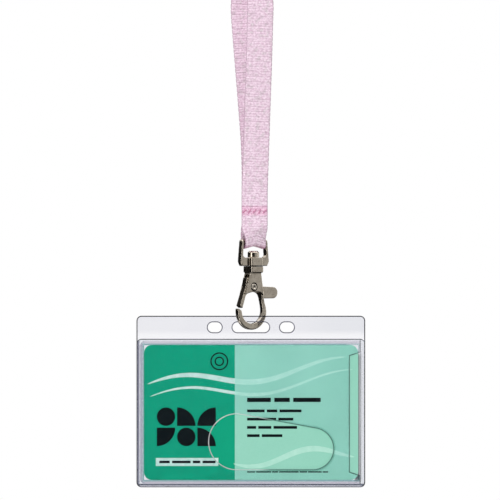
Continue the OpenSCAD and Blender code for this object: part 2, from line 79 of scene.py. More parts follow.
# Neck ribbon: one flat tape of woven pink polyester. It runs up from the seam, over at the top and
# down behind, where both ends are sewn together. A heavy pick every 2 mm draws its edges in.
route = [Vector(p) * MM for p in (
    (1.5, -0.35, -91.4), (1.5, -0.5, -86), (1.8, -1.6, -77), (2.2, -3.2, -65),
    (2.7, -5.2, -50), (3.2, -7.2, -35), (3.6, -9.2, -20), (3.8, -10.2, -12),
    (3.4, -9.6, -7), (2.6, -7.6, -3.2), (1.5, -4, -0.9), (0.4, 0, -0.3),
    (-0.7, 4, -0.9), (-1.8, 7.6, -3.2), (-2.6, 9.6, -7), (-2.9, 10.2, -12),
    (-2.4, 9.2, -20), (-1.2, 7.2, -35), (0, 5.2, -50), (1.1, 3.2, -65),
    (1.5, 1.8, -77), (1.5, 1.05, -86), (1.5, 1, -91.4), (1.5, 1, -95.8))]
tape_w = 10.4 * MM
tape_t = 0.6 * MM
tape_step = 0.2 * MM
rib_pitch = 2.0 * MM
groove_half = 0.28 * MM
groove_deep = 0.16
groove_curve = 0.7
edge_nick = 0.2 * MM
edge_thinning, edge_curve = 0.5, 10
uv_unit = 10 * MM
across_shares = [-1, -0.95, -0.85, -0.7, -0.5, -0.25, 0, 0.25, 0.5, 0.7, 0.85, 0.95, 1]


def smooth_line(points, step):
    """Points about a step apart on the smooth curve through the given points."""
    ends = [2 * points[0] - points[1], *points, 2 * points[-1] - points[-2]]
    line = []
    for a, b, c, d in zip(ends, ends[1:], ends[2:], ends[3:]):
        count = max(2, round((c - b).length / step))
        for i in range(count):
            t = i / count
            line.append(0.5 * (2 * b + (c - a) * t + (2 * a - 5 * b + 4 * c - d) * t * t
                               + (3 * b - a - 3 * c + d) * t ** 3))
    return [*line, points[-1]]


def distances(line):
    """How far along the line each of its points lies."""
    along = [0]
    for a, b in zip(line, line[1:]):
        along.append(along[-1] + (b - a).length)
    return along


def way_at(line, i):
    """From the point before to the point after, or from the end itself."""
    return line[min(i + 1, len(line) - 1)] - line[max(i - 1, 0)]


def groove(distance):
    """How deep the tape is drawn in at a distance along it, from 0 to 1."""
    from_pick = abs((distance + rib_pitch / 2) % rib_pitch - rib_pitch / 2)
    return max(0, 1 - from_pick / groove_half) ** groove_curve


def pick(piece):
    """Selects this piece alone and makes it the active one."""
    bpy.ops.object.select_all(action="DESELECT")
    piece.select_set(True)
    bpy.context.view_layer.objects.active = piece


def enter_edit():
    bpy.ops.object.mode_set(mode="EDIT")


def leave_edit():
    bpy.ops.object.mode_set(mode="OBJECT")


def select_whole():
    bpy.ops.mesh.select_all(action="SELECT")


def edit_whole():
    """Goes into edit mode with the whole mesh selected."""
    enter_edit()
    select_whole()


def face_outwards():
    """Turns the selected faces outwards and leaves edit mode."""
    bpy.ops.mesh.normals_make_consistent(inside=False)
    leave_edit()


def new_piece(name, data):
    """A picked object in the scene that holds the given mesh or curve."""
    piece = bpy.data.objects.new(name, data)
    bpy.context.collection.objects.link(piece)
    pick(piece)
    return piece


def tape_mesh(name, along, place):
    """Closed flat tape. place(station, across, lift) gives the point at a distance across and up."""
    ring = [(s, 1) for s in across_shares] + [(s, -1) for s in reversed(across_shares)]
    count = len(ring)
    points, marks, faces = [], [], []
    for i, distance in enumerate(along):
        drawn_in = groove(distance)
        half_w = tape_w / 2 - edge_nick * drawn_in
        for share, side in ring:
            half_t = (tape_t / 2 * (1 - groove_deep * drawn_in)
                      * (1 - edge_thinning * abs(share) ** edge_curve))
            points.append(place(i, share * half_w, side * half_t))
            marks.append((0.5 + share * half_w / uv_unit, distance / uv_unit))
    for i in range(len(along) - 1):
        for k in range(count):
            a, b = i * count + k, i * count + (k + 1) % count
            faces.append((a, b, b + count, a + count))
    for first in (0, (len(along) - 1) * count):
        for k in range(len(across_shares) - 1):
            face = (first + k, first + k + 1, first + count - 2 - k, first + count - 1 - k)
            faces.append(face if first else face[::-1])
    mesh = bpy.data.meshes.new(name)
    mesh.from_pydata(points, [], faces)
    places = mesh.uv_layers.new(name="UVMap").data
    for loop in mesh.loops:
        places[loop.index].uv = marks[loop.vertex_index]
    piece = new_piece(name, mesh)
    edit_whole()
    face_outwards()
    bpy.ops.object.shade_smooth()
    return piece


neck_line = smooth_line(route, tape_step)
neck_along = distances(neck_line)


def on_neck(i, across, lift):
    """A point on the neck ribbon, which keeps its width in the plane of the front."""
    direction = way_at(neck_line, i).normalized()
    side = (Vector((1, 0, 0)) - direction.x * direction).normalized()
    return neck_line[i] + side * across + direction.cross(side) * lift


neck = tape_mesh("neck_tape", neck_along, on_neck)


def linear(red, green, blue):
    """A colour written as screen values of 0 to 255, as the numbers that a shader takes."""
    return [((c / 255 + 0.055) / 1.055) ** 2.4 if c > 10 else c / 255 / 12.92
            for c in (red, green, blue)] + [1]


def feed(tree, socket, value):
    """Joins an input to what another node puts out, or sets its number, vector or screen colour."""
    if isinstance(value, bpy.types.NodeSocket):
        tree.links.new(value, socket)
    else:
        socket.default_value = linear(*value) if socket.type == "RGBA" else value


def put(tree, kind, settings=None, **values):
    """Adds a shader node with its settings, and its inputs by their names with _ for a space."""
    node = tree.nodes.new("ShaderNode" + kind)
    for key, value in (settings or {}).items():
        setattr(node, key, value)
    for key, value in values.items():
        named = [s for s in node.inputs if s.name.replace(" ", "_") == key and s.enabled]
        feed(tree, named[0], value)
    return node


def calc(tree, operation, *values):
    """Adds a Math node on numbers or sockets and returns what it puts out."""
    node = put(tree, "Math", {"operation": operation})
    for socket, value in zip(node.inputs, values):
        feed(tree, socket, value)
    return node.outputs[0]


def times(tree, first, *others):
    """Multiplies numbers or sockets."""
    for value in others:
        first = calc(tree, "MULTIPLY", first, value)
    return first


def calc_vector(tree, operation, first, second=(0, 0, 0)):
    """Adds a Vector Math node and returns its outputs, the first for a vector and then a number."""
    node = put(tree, "VectorMath", {"operation": operation}, Vector=first)
    node.inputs[1].default_value = second
    return node.outputs


def axes_of(tree, vector):
    return put(tree, "SeparateXYZ", Vector=vector).outputs


def object_place(tree):
    """Where on the object each point of the surface lies."""
    return put(tree, "TexCoord").outputs["Object"]


def noise(tree, place, scale, detail, roughness=0.5):
    return put(tree, "TexNoise", Vector=place, Scale=scale, Detail=detail,
               Roughness=roughness).outputs[0]


def ramp(tree, value, start, end, low=0.0, high=1.0, kind="LINEAR"):
    """Turns a value's run from start to end into one from low to high, and holds it at both."""
    return put(tree, "MapRange", {"interpolation_type": kind}, Value=value,
               From_Min=start, From_Max=end, To_Min=low, To_Max=high).outputs[0]


def soft_ramp(tree, value, start, end, low=0.0, high=1.0):
    return ramp(tree, value, start, end, low, high, "SMOOTHSTEP")


def blend_colour(tree, factor, first, second, kind="MIX"):
    """Adds a colour Mix node and returns what it puts out."""
    node = put(tree, "Mix", {"data_type": "RGBA", "blend_type": kind})
    for number, value in ((0, factor), (6, first), (7, second)):
        feed(tree, node.inputs[number], value)
    return node.outputs[2]


def marked(tree, colour, marks, kind="MULTIPLY"):
    """Lays marks on a colour. Each is a maker of a mask, and the colour that goes there."""
    for mask, rgb in marks:
        colour = blend_colour(tree, mask(tree), colour, rgb, kind)
    return colour


def bumps(tree, height, strength, distance):
    """The normals of a surface that rises and falls with the height."""
    return put(tree, "Bump", Strength=strength, Distance=distance,
               Height=height).outputs[0]


def new_material(name):
    """An empty material, and its node tree."""
    made = bpy.data.materials.new(name)
    made.use_nodes = True
    made.node_tree.nodes.clear()
    return made, made.node_tree


def finish_material(tree, shader):
    put(tree, "OutputMaterial", Surface=shader.outputs[0])


def principled(tree, colour, **values):
    return put(tree, "BsdfPrincipled", Base_Color=colour, **values)


def new_group(name, inputs, outputs):
    """An empty shader group, what comes into it by name, and a function that puts out by name."""
    group = bpy.data.node_groups.new(name, "ShaderNodeTree")
    for way, sockets in (("INPUT", inputs), ("OUTPUT", outputs)):
        for label, kind in sockets.items():
            group.interface.new_socket(name=label, in_out=way, socket_type="NodeSocket" + kind)
    out = group.nodes.new("NodeGroupOutput")

    def put_out(**values):
        for label, value in values.items():
            group.links.new(value, out.inputs[label])

    return group, group.nodes.new("NodeGroupInput").outputs, put_out


# The weave reads the tape's own map, where one unit is 10 mm: picks across it, warp along it
weave, weave_in, put_out = new_group(
    "ribbon weave", {"Bright": "Color", "Deep": "Color", "Pick Colour": "Color", "Coarse": "Float"},
    {"Colour": "Color", "Height": "Float"})
tape_map = put(weave, "UVMap", {"uv_map": "UVMap"}).outputs[0]
tape_place = put(weave, "VectorMath", {"operation": "SCALE"},
                 Vector=tape_map, Scale=uv_unit / MM).outputs[0]
across_mm, along_mm = axes_of(weave, tape_place)[:2]
streaks = noise(weave, calc_vector(weave, "MULTIPLY", tape_place, (1.2, 1.6, 1))[0], 1.0, 3.0)
dashes = noise(weave, calc_vector(weave, "MULTIPLY", tape_place, (0.28, 2.4, 1))[0], 1.0, 3.0, 0.7)
blotches = noise(weave, tape_place, 1.1, 4.0)
specks = noise(weave, tape_place, 2.6, 1.0)
fades = noise(weave, tape_place, 0.45, 3.0)
wander = times(weave, calc(weave, "SUBTRACT", blotches, 0.5), 0.5)
wandering = calc(weave, "ADD", along_mm, wander)
heavy_pick = soft_ramp(weave, calc(weave, "PINGPONG", wandering, 1.0), 0.0, 0.3, 1.0, 0.0)
fine_pick = calc(weave, "PINGPONG", wandering, 0.5)
fine_line = ramp(weave, fine_pick, 0.02, 0.16, 0.5, 0.0)
warp = calc(weave, "PINGPONG", across_mm, 0.16)
dash = soft_ramp(weave, dashes, 0.5, 0.7)
speck = soft_ramp(weave, specks, 0.6, 0.72)
broken = ramp(weave, dashes, 0.36, 0.6, 0.12, 0.8)
off_middle = calc(weave, "ABSOLUTE", calc(weave, "SUBTRACT", across_mm, 5.0))
selvedge = ramp(weave, off_middle, 4.7, 5.15)
spun = calc(weave, "ADD", calc(weave, "ADD", streaks, blotches), times(weave, fine_pick, 0.24))
threads = blend_colour(weave, ramp(weave, spun, 0.88, 1.22), weave_in["Deep"], weave_in["Bright"])
threads = blend_colour(weave, ramp(weave, fades, 0.5, 0.66), threads, (234, 240, 234), "MULTIPLY")
lines = calc(weave, "MAXIMUM", times(weave, heavy_pick, weave_in["Coarse"]), fine_line)
darker = times(weave, lines, broken)
for mask, share in ((dash, 0.5), (speck, 0.4), (selvedge, 0.8)):
    darker = calc(weave, "MAXIMUM", darker, times(weave, mask, share))
ridges = calc(weave, "ADD", times(weave, fine_pick, 1.2), times(weave, warp, 1.6))
put_out(Colour=blend_colour(weave, darker, threads, weave_in["Pick Colour"]),
        Height=calc(weave, "SUBTRACT", ridges, times(weave, dash, 0.5)))


def along_axis(axis, start, end):
    """Makes a mask that goes from 0 to 1 between two places on an axis, given in millimetres."""
    return lambda tree: soft_ramp(tree, axes_of(tree, object_place(tree))[axis], start * MM, end * MM)


def overlap(*masks):
    """Makes a mask of the places that lie in all of the given masks."""
    return lambda tree: times(tree, *(mask(tree) for mask in masks))


def band(axis, start, full, full_end, end):
    """Makes a mask that rises from one place on an axis to the next, and falls between two more."""
    return overlap(along_axis(axis, start, full), along_axis(axis, end, full_end))


# The front strand's heavy picks are the fainter. The seam is pinker and has painted shade along
# the step above it, and the fold lies in painted shade.
seam_zone = band(2, -95.4, -94.7, -92.0, -91.5)
seam_step_shade = band(2, -91.9, -91.6, -91.3, -91.0)
fold_shade = along_axis(2, -106.4, -108.4)
ribbon_pink, tree = new_material("ribbon_pink")
pattern = put(tree, "Group", {"node_tree": weave}, Bright=(252, 230, 244),
              Deep=(222, 190, 210), Pick_Colour=(164, 132, 152),
              Coarse=ramp(tree, along_axis(1, -0.8, 0.8)(tree), 0.0, 1.0, 0.55)).outputs
ribbon_colour = marked(tree, pattern["Colour"], (
    (seam_zone, (255, 234, 244)), (seam_step_shade, (246, 230, 238)), (fold_shade, (222, 188, 206))))
finish_material(tree, principled(tree, ribbon_colour, Roughness=0.62, Sheen_Weight=0.25,
                                 Sheen_Roughness=0.4,
                                 Normal=bumps(tree, pattern["Height"], 0.6, 0.08 * MM)))


def settle(piece, *scale):
    """Puts the place, turn and scale of a picked piece into its mesh."""
    if scale:
        piece.scale = scale
    bpy.ops.object.transform_apply(location=True, rotation=True, scale=True)
    return piece


def dress(piece, *materials):
    """Gives a piece its materials."""
    for made in materials:
        piece.data.materials.append(made)


def seat(piece, name, body, node, slot, *materials):
    """Settles a finished piece, dresses it and hands it to the frame."""
    pick(piece)
    settle(piece)
    piece.name = name
    dress(piece, *materials)
    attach(piece, body)
    if node:
        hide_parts(node)


seat(neck, "neck_tape", "lanyard", "neck_ribbon", "ribbon", ribbon_pink)

# Ribbon's end loop: the sewn end runs down in front, under the ring's bar and up behind. On the way
# it turns with the ring, and its edges droop where it wraps the bar.
seam_x = 1.5 * MM
seam_top = -91.4 * MM
seam_low = -95.8 * MM
bar_x = 1.0 * MM
bar_z = -105.6 * MM
ring_turn = math.radians(38)
wall_apart = 0.325 * MM
bar_wrap = 1.55 * MM
turn_from, turn_to = 0.26, 0.76
edge_droop, droop_curve = 1.2 * MM, 1.15
seam_steps, wall_steps, wrap_steps = 20, 60, 24


def ease(t):
    """An even S curve from 0 to 1."""
    return (1 - math.cos(math.pi * min(max(t, 0), 1))) / 2


def fold_line():
    """The loop's middle from the seam's front down, round the bar and up: depth and height."""
    wall = [(wall_apart, seam_top + (seam_low - seam_top) * i / seam_steps)
            for i in range(seam_steps)]
    wall += [(wall_apart + (bar_wrap - wall_apart) * ease(i / wall_steps),
              seam_low + (bar_z - seam_low) * i / wall_steps) for i in range(wall_steps)]
    turns = [math.pi * i / wrap_steps for i in range(wrap_steps + 1)]
    under = [(-bar_wrap * math.cos(a), bar_z - bar_wrap * math.sin(a)) for a in turns]
    return [Vector(p) for p in [(-y, z) for y, z in wall] + under + wall[::-1]]


loop_line = fold_line()


def on_loop(i, across, lift):
    """A point on the end loop, which turns from the front's plane into the ring's."""
    ahead = way_at(loop_line, i)
    depth, height = loop_line[i] + Vector((ahead.y, -ahead.x)).normalized() * lift
    turned = ease(((seam_low - height) / (seam_low - bar_z) - turn_from) / (turn_to - turn_from))
    angle = ring_turn * turned
    middle = seam_x + (bar_x - seam_x) * turned
    share = abs(across) / (tape_w / 2)
    return Vector((middle + across * math.cos(angle) - depth * math.sin(angle),
                   across * math.sin(angle) + depth * math.cos(angle),
                   height - edge_droop * turned * share ** droop_curve))


end_loop = tape_mesh("end_loop_tape", distances(loop_line), on_loop)
seat(end_loop, "end_loop_tape", "lanyard", "ribbon_end_loop", "ribbon", ribbon_pink)

# Seam stitching: five slanted lockstitches of rose thread across the overlap. Each loop goes
# through all three layers and pulls them in a little.
stitch_slants = [math.radians(d) for d in (38, 62, 48, 66, 44)]
stitch_pitch = 2.05 * MM
stitch_len = 1.9 * MM
stitch_step = 0.08 * MM
stitch_z = (seam_top + seam_low) / 2 + 0.2 * MM
stitch_shares = (-1, -0.92, -0.6, 0, 0.6, 0.92, 1)
stitch_crown, stitch_dip, dip_curve = 0.42, 0.85, 6
thread_d = 0.42 * MM
seam_front = -0.625 * MM
seam_back = 1.3 * MM


def join(pieces, name):
    """Makes one piece of several and names it."""
    pick(pieces[0])
    for piece in pieces:
        piece.select_set(True)
    bpy.ops.object.join()
    joined = bpy.context.object
    joined.name = name
    return joined


def wire(name, points, diameter, closed=False):
    """A round wire or thread that follows the points, as a mesh."""
    line = bpy.data.curves.new(name, "CURVE")
    line.dimensions = "3D"
    line.bevel_depth = diameter / 2
    line.bevel_resolution = 3
    line.use_fill_caps = not closed
    spline = line.splines.new("POLY")
    spline.points.add(len(points) - 1)
    for point, spot in zip(spline.points, points):
        point.co = (*spot, 1)
    spline.use_cyclic_u = closed
    new_piece(name, line)
    bpy.ops.object.convert(target="MESH")
    bpy.ops.object.shade_smooth()
    return bpy.context.object


thread_rose, tree = new_material("thread_rose")
ply = put(tree, "TexWave", {"bands_direction": "DIAGONAL"}, Vector=object_place(tree),
          Scale=1800.0, Distortion=0.5).outputs[1]
thread_colour = blend_colour(tree, ply, (190, 106, 146), (230, 160, 194))
finish_material(tree, principled(tree, thread_colour, Roughness=0.55, Sheen_Weight=0.3,
                                 Normal=bumps(tree, ply, 0.6, 0.05 * MM)))

stitches = []
for i, slant in enumerate(stitch_slants):
    from_middle = (i - (len(stitch_slants) - 1) / 2) * stitch_pitch
    middle = Vector((seam_x + from_middle, 0, stitch_z))
    lie = Vector((math.cos(slant), 0, math.sin(slant)))
    loop = []
    for surface, side in ((seam_front, -1), (seam_back, 1)):
        for share in stitch_shares:
            lift = side * thread_d * (stitch_crown - stitch_dip * abs(share) ** dip_curve)
            loop.append(middle + lie * (-side * share * stitch_len / 2)
                        + Vector((0, surface + lift, 0)))
    loop = smooth_line(loop + loop[:1], stitch_step)[:-1]
    stitches.append(wire("stitch", loop, thread_d, closed=True))
seam = join(stitches, "seam_thread")
seat(seam, "seam_thread", "lanyard", "seam_stitching", "thread", thread_rose)

# Swivel ring, hook, gate and their pins: zinc castings, tumbled and bright nickel plated. The flash
# is trimmed and the tumbling rounds every edge, so each keeps its built shape with softened edges.
# Below are each one's name, node and body, its mesh size in millimetres and its rounds of smoothing.
cast_pieces = (
    ("ring_casting", "swivel_ring", "ring", 0.12, 18),
    ("swivel_pin_turned", "swivel_pin", "hook", 0.09, 12),
    ("hook_casting", "hook_body", "hook", 0.12, 22),
    ("gate_casting", "gate_lever", "gate", 0.11, 14))
bow_top = -119.5 * MM
bow_full = -122 * MM
bow_rounds = 80

# The painted shade in the joint between the ring's boss and the hook's collar: its height, half of
# the mark's width, and half of its full part, in millimetres. A mark about the rivet is full on this
# share of its half.
joint_z, joint_half, joint_full = -115.33, 0.34, 0.14
mark_core = 0.3


def modify(piece, kind, **settings):
    """Applies a modifier of this kind to a piece, with its settings."""
    pick(piece)
    modifier = piece.modifiers.new(kind, kind)
    for key, value in settings.items():
        setattr(modifier, key, value)
    bpy.ops.object.modifier_apply(modifier=modifier.name)


def tumbled(node, mesh_size, rounds):
    """A copy of a built piece, meshed evenly and smoothed as tumbling rounds a casting's edges. Its
    vertex colours are dark in hollows and light on edges, and mark where shade is painted in the
    hollows."""
    piece = new_piece(node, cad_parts[node].data.copy())
    piece.data.materials.clear()
    edit_whole()
    bpy.ops.mesh.remove_doubles(threshold=0.002 * MM)
    leave_edit()
    modify(piece, "REMESH", mode="VOXEL", voxel_size=mesh_size * MM)
    modify(piece, "SMOOTH", factor=0.5, iterations=rounds)
    if node == "hook_body":
        # The hook's bow is rounder than its flat cheeks
        bow = piece.vertex_groups.new(name="bow")
        for vertex in piece.data.vertices:
            share = (bow_top - vertex.co.z) / (bow_top - bow_full)
            bow.add([vertex.index], min(max(share, 0), 1), "REPLACE")
        modify(piece, "SMOOTH", factor=0.5, iterations=bow_rounds, vertex_group="bow")
    bpy.ops.object.shade_smooth()
    bpy.ops.geometry.color_attribute_add(name="HollowShade", domain="POINT", data_type="FLOAT_COLOR",
                                         color=(1, 1, 1, 1))
    bpy.ops.paint.vertex_color_dirt(
        blur_strength=1.0, blur_iterations=3, clean_angle=math.radians(118),
        dirt_angle=math.radians(62), normalize=False)
    return piece


cast_grain, grain_in, put_out = new_group(
    "cast grain", {"Base": "Color", "Stain": "Color"},
    {"Colour": "Color", "Roughness": "Float", "Height": "Float"})
grain_place = object_place(cast_grain)
pits = noise(cast_grain, grain_place, 2600.0, 3.0)
cloud = noise(cast_grain, grain_place, 380.0, 5.0)
worn = calc(cast_grain, "ADD", times(cast_grain, ramp(cast_grain, cloud, 0.35, 0.7), 0.45),
            times(cast_grain, ramp(cast_grain, pits, 0.5, 0.66), 0.55))
put_out(Colour=blend_colour(cast_grain, worn, grain_in["Base"], grain_in["Stain"]),
        Roughness=ramp(cast_grain, cloud, 0.3, 0.75, 0.08, 0.27),
        Height=calc(cast_grain, "ADD", times(cast_grain, pits, 0.3), cloud))


def metal(name, base, stain, bump_strength, marks):
    """Plated metal, stained in places. Each mark makes a mask and tints the metal there."""
    made, tree = new_material(name)
    grain = put(tree, "Group", {"node_tree": cast_grain}, Base=base, Stain=stain).outputs
    finish_material(tree, principled(
        tree, marked(tree, grain["Colour"], marks), Metallic=1.0, Roughness=grain["Roughness"],
        Normal=bumps(tree, grain["Height"], bump_strength, 0.05 * MM)))
    return made


def painted_hollow_shade(tree):
    """Masks the hollows that the vertex colours mark as dark, where the metal is painted in shade."""
    wear = put(tree, "VertexColor", {"layer_name": "HollowShade"}).outputs["Color"]
    return ramp(tree, wear, 0.054, 0.03)


def from_rivet(tree):
    """Where each point of the surface lies as seen from the rivet's middle."""
    return calc_vector(tree, "SUBTRACT", object_place(tree), rivet_middle)[0]


def about_rivet(radius, spread):
    """Makes a mask of a ring about the rivet's axis, or of a spot on it where the radius is 0."""
    def mask(tree):
        turned = calc_vector(tree, "CROSS_PRODUCT", from_rivet(tree), rivet_axis)[0]
        off_axis = calc_vector(tree, "LENGTH", turned)[1]
        from_ring = calc(tree, "ABSOLUTE", calc(tree, "SUBTRACT", off_axis, radius))
        return soft_ramp(tree, from_ring, spread * mark_core, spread, 1.0, 0.0)
    return mask


def in_channel(tree):
    """Masks the open side of the hook between its cheeks, where the gate arm lies in shade."""
    place = from_rivet(tree)
    along, outward = (calc_vector(tree, "DOT_PRODUCT", place, way)[1]
                      for way in (rivet_axis, in_plane))
    between = ramp(tree, calc(tree, "ABSOLUTE", along), 1.35 * MM, 0.95 * MM)
    open_side = ramp(tree, outward, -0.8 * MM, -1.4 * MM)
    return times(tree, between, open_side, beside_gate(tree))


rivet_low, rivet_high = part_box("gate_rivet")
rivet_middle = (rivet_low + rivet_high) / 2
in_plane = Vector((math.cos(ring_turn), math.sin(ring_turn), 0))
rivet_axis = Vector((in_plane.y, -in_plane.x, 0))
beside_gate = band(2, -132.6, -131.9, -118.8, -118.0)
joint_shade = band(2, joint_z - joint_half, joint_z - joint_full,
                  joint_z + joint_full, joint_z + joint_half)
# The nickel is painted dark in its hollows, in a ring round the rivet's seat, in the joint under the
# ring and in the channel by the gate arm, all as painted shade.
nickel = metal("nickel_bright", (216, 206, 190), (158, 146, 130), 0.4, (
    (painted_hollow_shade, (70, 66, 64)), (about_rivet(1.52 * MM, 0.3 * MM), (30, 28, 26)),
    (joint_shade, (24, 22, 20)), (in_channel, (84, 80, 76))))
# The rivet's head is painted dark in its dimple, as painted shade.
plain_nickel = metal("nickel_rivet", (222, 214, 200), (176, 164, 148), 0.2, (
    (about_rivet(0.0, 0.5 * MM), (52, 48, 44)),))
for name, node, body, mesh_size, rounds in cast_pieces:
    seat(tumbled(node, mesh_size, rounds), name, body, node, "nickel", nickel)

# Gate rivet: a tubular rivet, closed over the two cheeks. Its heads are low domes with a deep round
# dimple where the tool spread them. The profile gives half of it: distance from the axis, and height
# above the end of the shank, in millimetres.
rivet_half = 2.0 * MM
rivet_steps = 40
rivet_profile = [(0.0, -0.24), (0.42, -0.24), (0.56, -0.16), (0.66, 0.0), (0.78, 0.03), (1.02, 0.0),
                 (1.22, -0.07), (1.33, -0.17), (1.35, -0.28), (0.8, -0.3)]
rivet_line = [(x * MM, rivet_half + z * MM) for x, z in rivet_profile]
rivet_line += [(x, -z) for x, z in reversed(rivet_line)]
mesh = bpy.data.meshes.new("rivet")
mesh.from_pydata([(x, 0, z) for x, z in rivet_line],
                 [(i, i + 1) for i in range(len(rivet_line) - 1)], [])
rivet = new_piece("rivet", mesh)
edit_whole()
bpy.ops.mesh.spin(steps=rivet_steps, angle=math.tau, center=(0, 0, 0), axis=(0, 0, 1))
select_whole()
bpy.ops.mesh.remove_doubles(threshold=0.001 * MM)
face_outwards()
bpy.ops.object.shade_smooth_by_angle(angle=math.radians(50))
rivet.matrix_world = (Matrix.Translation(rivet_middle)
                      @ rivet_axis.to_track_quat("Z", "X").to_matrix().to_4x4())
seat(rivet, "rivet_head_pair", "hook", "gate_rivet", "nickel", plain_nickel)

# Gate spring: steel wire wound round the rivet. One leg bears on the channel's roof and the other
# lies in the gate arm, so the coil winds up as the gate opens.
wire_d = 0.34 * MM
coil_r = 1.25 * MM
coil_half = 0.4 * MM
coil_steps = 64
coil_end = 4 * math.pi
roof_h = 4.65 * MM
roof_steps = 6
arm_angle = math.atan2(-2.9, -4.2)
coil_start = arm_angle + math.radians(26)

steel, tree = new_material("spring_steel")
drawn = noise(tree, object_place(tree), 3000.0, 2.0)
drawn_colour = blend_colour(tree, drawn, (120, 120, 122), (176, 176, 178))
finish_material(tree, principled(tree, drawn_colour, Metallic=1.0, Roughness=0.3))


def on_pivot(u, v, w):
    """A point from the gate's pivot: across in the hook's plane, along the rivet, and up."""
    return rivet_middle + in_plane * u + rivet_axis * v + Vector((0, 0, w))


# The gate's leg, as distance from the pivot and place along the rivet in millimetres, and degrees
# round from the arm. It bends aside there to meet the first turn.
gate_leg = [(3.8, 0.0, 0), (2.0, -0.05, 0), (1.75, -0.15, 0), (1.55, -0.3, 5), (1.35, -0.38, 14)]
turns = [(r * MM, v * MM, arm_angle + math.radians(round_by)) for r, v, round_by in gate_leg]
for i in range(coil_steps + 1):
    share = i / coil_steps
    turns.append((coil_r, coil_half * (2 * share - 1), coil_start + (coil_end - coil_start) * share))
wire_points = [on_pivot(r * math.cos(a), v, r * math.sin(a)) for r, v, a in turns]
wire_points += [on_pivot(coil_r, coil_half, roof_h * i / roof_steps)
                for i in range(1, roof_steps + 1)]
spring = wire("coil_spring", wire_points, wire_d)
dress(spring, steel)
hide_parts("gate_spring")
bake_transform(spring)

# Holder's back sheet: one piece of stiff clear vinyl, 0.5 mm thick, die cut. Its strip at the top
# stands above the pocket, with a slot for the hook and a chain hole on each side.
back_low, back_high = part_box("back_sheet")
holder_corner = 2 * MM
slot_size = Vector((14.7, 4.0)) * MM
chain_size = Vector((5.6, 4.0)) * MM
chain_pitch = 28.9 * MM
slot_z = -139.83 * MM
slot_roundness = 0.998
cutter_half = 2 * MM
sheet_edge = 0.12 * MM
edge_band = 0.38 * MM
side_facing = 0.3
tiny = 0.001 * MM


def primitive(kind, spot, **shape):
    """Adds a primitive of this kind at a spot, picked alone."""
    bpy.ops.object.select_all(action="DESELECT")
    getattr(bpy.ops.mesh, f"primitive_{kind}_add")(location=spot, **shape)
    return bpy.context.object


def block(low, high):
    """A cube primitive that fills the box between two corners."""
    middle = (Vector(low) + Vector(high)) / 2
    return settle(primitive("cube", middle, size=1), *(Vector(high) - Vector(low)))


def edit_chosen(piece, kind, wanted):
    """Goes into edit mode with only the wanted points, edges or faces of a piece selected."""
    pick(piece)
    enter_edit()
    bpy.ops.mesh.select_mode(type=kind)
    bpy.ops.mesh.select_all(action="DESELECT")
    leave_edit()
    mesh = piece.data
    for part in {"VERT": mesh.vertices, "EDGE": mesh.edges, "FACE": mesh.polygons}[kind]:
        part.select = wanted(part)
    enter_edit()


def round_corners(piece, radius):
    """Rounds the edges that run from front to back."""
    def runs_back(edge):
        a, b = (piece.data.vertices[v].co for v in edge.vertices)
        return abs(a.x - b.x) + abs(a.z - b.z) < tiny

    edit_chosen(piece, "EDGE", runs_back)
    bpy.ops.mesh.bevel(offset=radius, segments=10, affect="EDGES")
    leave_edit()


def punch(piece, cutter):
    """Cuts the cutter's shape out of the piece and removes the cutter."""
    modify(piece, "BOOLEAN", operation="DIFFERENCE", solver="EXACT", object=cutter)
    bpy.data.objects.remove(cutter)


def round_edges(piece, width, band):
    """Rounds a sheet's cut edges. Its second material goes on them and on a narrow band beside them,
    where the cut shows through the clear face."""
    for face in piece.data.polygons:
        face.material_index = 1 if abs(face.normal.y) < side_facing else 0
    modify(piece, "BEVEL", width=width, segments=2, limit_method="ANGLE",
           angle_limit=math.radians(50), material=1)
    edit_chosen(piece, "FACE", lambda face: face.material_index == 0)
    bpy.ops.mesh.inset(thickness=band, use_even_offset=False)
    leave_edit()
    for face in piece.data.polygons:
        face.material_index = 0 if face.select else 1
    bpy.ops.object.shade_smooth_by_angle(angle=math.radians(40))


# Vinyl lets lamps through and is a little wavy. Its cut edges are painted dark as painted shade,
# since they send light aside.
vinyl_waves, waves_in, put_out = new_group(
    "vinyl waves", {"Tint": "Color", "Shade": "Color"},
    {"Colour": "Color", "Height": "Float", "Roughness": "Float"})
wave_place = object_place(vinyl_waves)
slow = noise(vinyl_waves, wave_place, 55.0, 2.0)
smear = noise(vinyl_waves, wave_place, 240.0, 4.0)
put_out(Colour=blend_colour(vinyl_waves, slow, waves_in["Tint"], waves_in["Shade"]), Height=slow,
        Roughness=ramp(vinyl_waves, smear, 0.3, 0.75, 0.02, 0.06))


def vinyl(name, tint, shade, wave_height, shadow, clearness=1.0, marks=()):
    """Clear vinyl whose shadow is only as dark as it is. Each mark makes a mask and gives the colour
    that the vinyl has there."""
    made, tree = new_material(name)
    waves = put(tree, "Group", {"node_tree": vinyl_waves}, Tint=tint, Shade=shade).outputs
    solid = principled(tree, marked(tree, waves["Colour"], marks, "MIX"), IOR=1.45,
                       Roughness=waves["Roughness"], Transmission_Weight=clearness,
                       Normal=bumps(tree, waves["Height"], 1.0, wave_height))
    passed = put(tree, "BsdfTransparent", Color=shadow)
    in_shadow = put(tree, "LightPath").outputs["Is Shadow Ray"]
    chosen = put(tree, "MixShader")
    for socket, value in zip(chosen.inputs, (in_shadow, solid.outputs[0], passed.outputs[0])):
        feed(tree, socket, value)
    finish_material(tree, chosen)
    return made


def steep(tree):
    """Masks the parts that turn away from the front."""
    facing = axes_of(tree, put(tree, "NewGeometry").outputs["Normal"])[1]
    return ramp(tree, calc(tree, "ABSOLUTE", facing), 0.995, 0.8)


